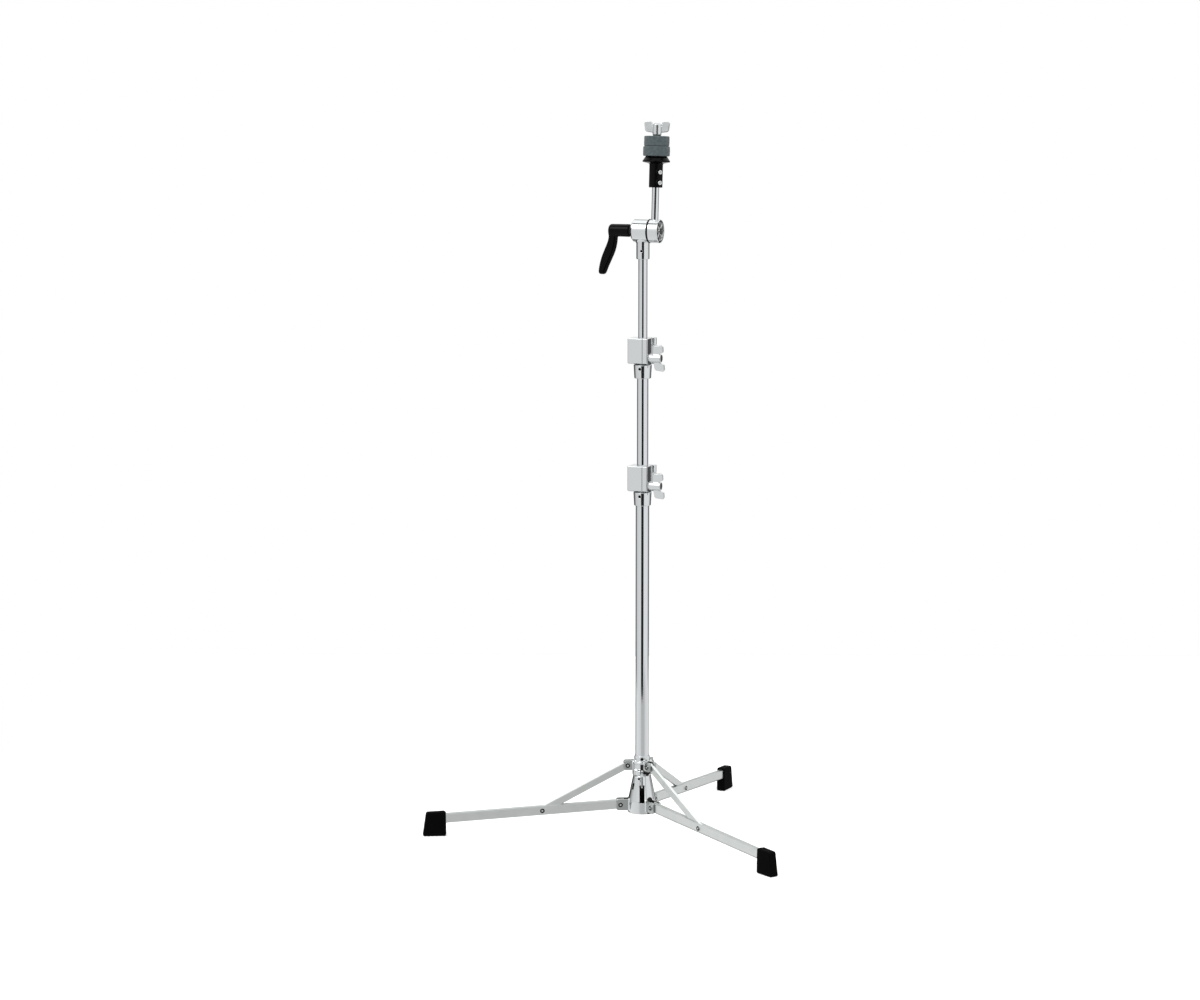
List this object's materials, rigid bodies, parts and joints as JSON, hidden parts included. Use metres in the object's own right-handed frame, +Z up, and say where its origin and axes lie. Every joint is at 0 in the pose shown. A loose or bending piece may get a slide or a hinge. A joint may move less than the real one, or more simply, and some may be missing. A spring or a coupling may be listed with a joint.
{
  "type": "straight cymbal stand",
  "caption": "Straight cymbal stand with a folding flush tripod base, telescoping tubes held by hinged wing-nut clamps, and a tilting rod with seat and felts.",
  "frame": {"origin": "on the floor, at the centre of the box that the stand fills; the pole stands 74.8 mm from it along +X", "axes": "+Z up along the pole; -X along the left leg; +Y towards the rear"},
  "size_m": [0.4699, 0.5418, 1.0021],
  "materials": {
    "chrome": "bright chrome plate on steel and zinc castings",
    "leg_plate": "pale plated sheet steel, satin",
    "dark_screw": "blackened steel",
    "plain_steel": "bright zinc",
    "black_plastic": "gloss black moulding",
    "foot_rubber": "moulded rubber, matte",
    "gasket_rubber": "rubber washer, matte",
    "nylon": "natural nylon",
    "felt": "pressed wool felt"
  },
  "bodies": {
    "root": {"base_hub": "chrome", "base_tube": "chrome", "hub_screw": "dark_screw", "hub_pin_left": "chrome", "hub_pin_front": "chrome", "hub_pin_rear": "chrome", "receiver_lower": "chrome", "receiver_screw_lower": "dark_screw", "guide_bush_lower": "nylon"},
    "left_leg": {"leg_left": "leg_plate", "foot_left": "foot_rubber", "leg_pin_left": "chrome"},
    "left_brace": {"brace_left": "leg_plate"},
    "front_leg": {"leg_front": "leg_plate", "foot_front": "foot_rubber", "leg_pin_front": "chrome"},
    "front_brace": {"brace_front": "leg_plate"},
    "rear_leg": {"leg_rear": "leg_plate", "foot_rear": "foot_rubber", "leg_pin_rear": "chrome"},
    "rear_brace": {"brace_rear": "leg_plate"},
    "sliding_collar": {"brace_collar": "chrome", "collar_screw": "dark_screw", "collar_tongue": "chrome", "collar_pin_left": "chrome", "collar_pin_front": "chrome", "collar_pin_rear": "chrome"},
    "lower_lock": {"lock_jaw_lower": "chrome", "lock_hinge_pin_lower": "plain_steel", "lock_bolt_lower": "plain_steel"},
    "lower_gate": {"lock_gate_lower": "chrome"},
    "lower_nut": {"lock_wing_nut_lower": "chrome"},
    "upper_lock": {"lock_jaw_upper": "chrome", "lock_hinge_pin_upper": "plain_steel", "lock_bolt_upper": "plain_steel"},
    "upper_gate": {"lock_gate_upper": "chrome"},
    "upper_nut": {"lock_wing_nut_upper": "chrome"},
    "middle_pole": {"middle_tube": "chrome", "receiver_upper": "chrome", "receiver_screw_upper": "dark_screw", "guide_bush_upper": "nylon"},
    "upper_pole": {"upper_tube": "chrome", "tilter_neck": "chrome", "tilter_neck_screw": "dark_screw"},
    "tilter_head": {"tilter_gasket": "gasket_rubber", "tilter_drum": "chrome", "tilter_cap": "dark_screw", "tilter_bolt": "plain_steel", "tilter_rod": "chrome", "cymbal_seat": "black_plastic", "seat_screw_lower": "chrome", "seat_screw_upper": "chrome", "felt_lower": "felt", "felt_upper": "felt"},
    "lever_core": {"lever_insert": "dark_screw", "lever_screw": "dark_screw", "lever_spring": "plain_steel"},
    "lever_grip": {"lever_handle": "black_plastic"},
    "top_nut": {"top_wing_nut": "chrome"}
  },
  "joints": [
    {"name": "left_leg_fold", "type": "hinge", "parent": "root", "child": "left_leg", "pos_m": [0.04382, 0, 0.041], "axis": [0, 1, 0], "range_deg": [0, 90]},
    {"name": "left_brace_swing", "type": "hinge", "parent": "left_leg", "child": "left_brace", "pos_m": [-0.06675, 0, 0.03385], "axis": [0, -1, 0], "range_deg": [0, 145]},
    {"name": "front_leg_fold", "type": "hinge", "parent": "root", "child": "front_leg", "pos_m": [0.09032, -0.02685, 0.041], "axis": [-0.866, -0.5, 0], "range_deg": [0, 90]},
    {"name": "front_brace_swing", "type": "hinge", "parent": "front_leg", "child": "front_brace", "pos_m": [0.1456, -0.1226, 0.03385], "axis": [0.866, 0.5, 0], "range_deg": [0, 145]},
    {"name": "rear_leg_fold", "type": "hinge", "parent": "root", "child": "rear_leg", "pos_m": [0.09032, 0.02685, 0.041], "axis": [0.866, -0.5, 0], "range_deg": [0, 90]},
    {"name": "rear_brace_swing", "type": "hinge", "parent": "rear_leg", "child": "rear_brace", "pos_m": [0.1456, 0.1226, 0.03385], "axis": [-0.866, 0.5, 0], "range_deg": [0, 145]},
    {"name": "collar_slide", "type": "slide", "parent": "root", "child": "sliding_collar", "axis": [0, 0, 1], "range_m": [0, 0.19]},
    {"name": "lower_lock_turn", "type": "hinge", "parent": "root", "child": "lower_lock", "pos_m": [0.07482, 0, 0.4874], "axis": [0, 0, 1], "continuous": true},
    {"name": "lower_gate_open", "type": "hinge", "parent": "lower_lock", "child": "lower_gate", "pos_m": [0.09069, 0.00518, 0.5059], "axis": [0, 0, 1], "range_deg": [0, 2.5]},
    {"name": "lower_nut_turn", "type": "hinge", "parent": "lower_gate", "child": "lower_nut", "pos_m": [0.0816, -0.01552, 0.4978], "axis": [0.9063, -0.4226, 0], "range_deg": [0, 450]},
    {"name": "middle_pole_slide", "type": "slide", "parent": "lower_lock", "child": "middle_pole", "axis": [0, 0, 1], "range_m": [-0.115, 0.18]},
    {"name": "upper_lock_turn", "type": "hinge", "parent": "middle_pole", "child": "upper_lock", "pos_m": [0.07482, 0, 0.6661], "axis": [0, 0, 1], "continuous": true},
    {"name": "upper_gate_open", "type": "hinge", "parent": "upper_lock", "child": "upper_gate", "pos_m": [0.09069, 0.00518, 0.6846], "axis": [0, 0, 1], "range_deg": [0, 2.5]},
    {"name": "upper_nut_turn", "type": "hinge", "parent": "upper_gate", "child": "upper_nut", "pos_m": [0.0816, -0.01552, 0.6765], "axis": [0.9063, -0.4226, 0], "range_deg": [0, 450]},
    {"name": "upper_pole_slide", "type": "slide", "parent": "upper_lock", "child": "upper_pole", "axis": [0, 0, 1], "range_m": [-0.105, 0.18]},
    {"name": "tilter_tilt", "type": "hinge", "parent": "upper_pole", "child": "tilter_head", "pos_m": [0.07482, 0, 0.8513], "axis": [0.9063, -0.4226, 0], "range_deg": [-110, 110]},
    {"name": "lever_turn", "type": "hinge", "parent": "upper_pole", "child": "lever_core", "pos_m": [0.07482, 0, 0.8513], "axis": [0.9063, -0.4226, 0], "continuous": true},
    {"name": "lever_pull", "type": "slide", "parent": "lever_core", "child": "lever_grip", "axis": [-0.9063, 0.4226, 0], "range_m": [0, 0.0035], "stiffness_N_per_m": 1500, "springref_m": -0.002},
    {"name": "top_nut_turn", "type": "hinge", "parent": "tilter_head", "child": "top_nut", "pos_m": [0.09014, -0.00714, 0.8513], "axis": [0.0295, 0.0632, 0.9976], "continuous": true}
  ],
  "couplings": [
    {"joint": "left_brace_swing", "follows": "left_leg_fold", "ratio": 1.6099},
    {"joint": "front_leg_fold", "follows": "left_leg_fold", "ratio": 1},
    {"joint": "front_brace_swing", "follows": "left_leg_fold", "ratio": 1.6099},
    {"joint": "rear_leg_fold", "follows": "left_leg_fold", "ratio": 1},
    {"joint": "rear_brace_swing", "follows": "left_leg_fold", "ratio": 1.6099},
    {"joint": "collar_slide", "follows": "left_leg_fold", "m_per_rad": 0.12067},
    {"joint": "lower_gate_open", "follows": "lower_nut_turn", "ratio": 0.0055556},
    {"joint": "upper_gate_open", "follows": "upper_nut_turn", "ratio": 0.0055556}
  ]
}
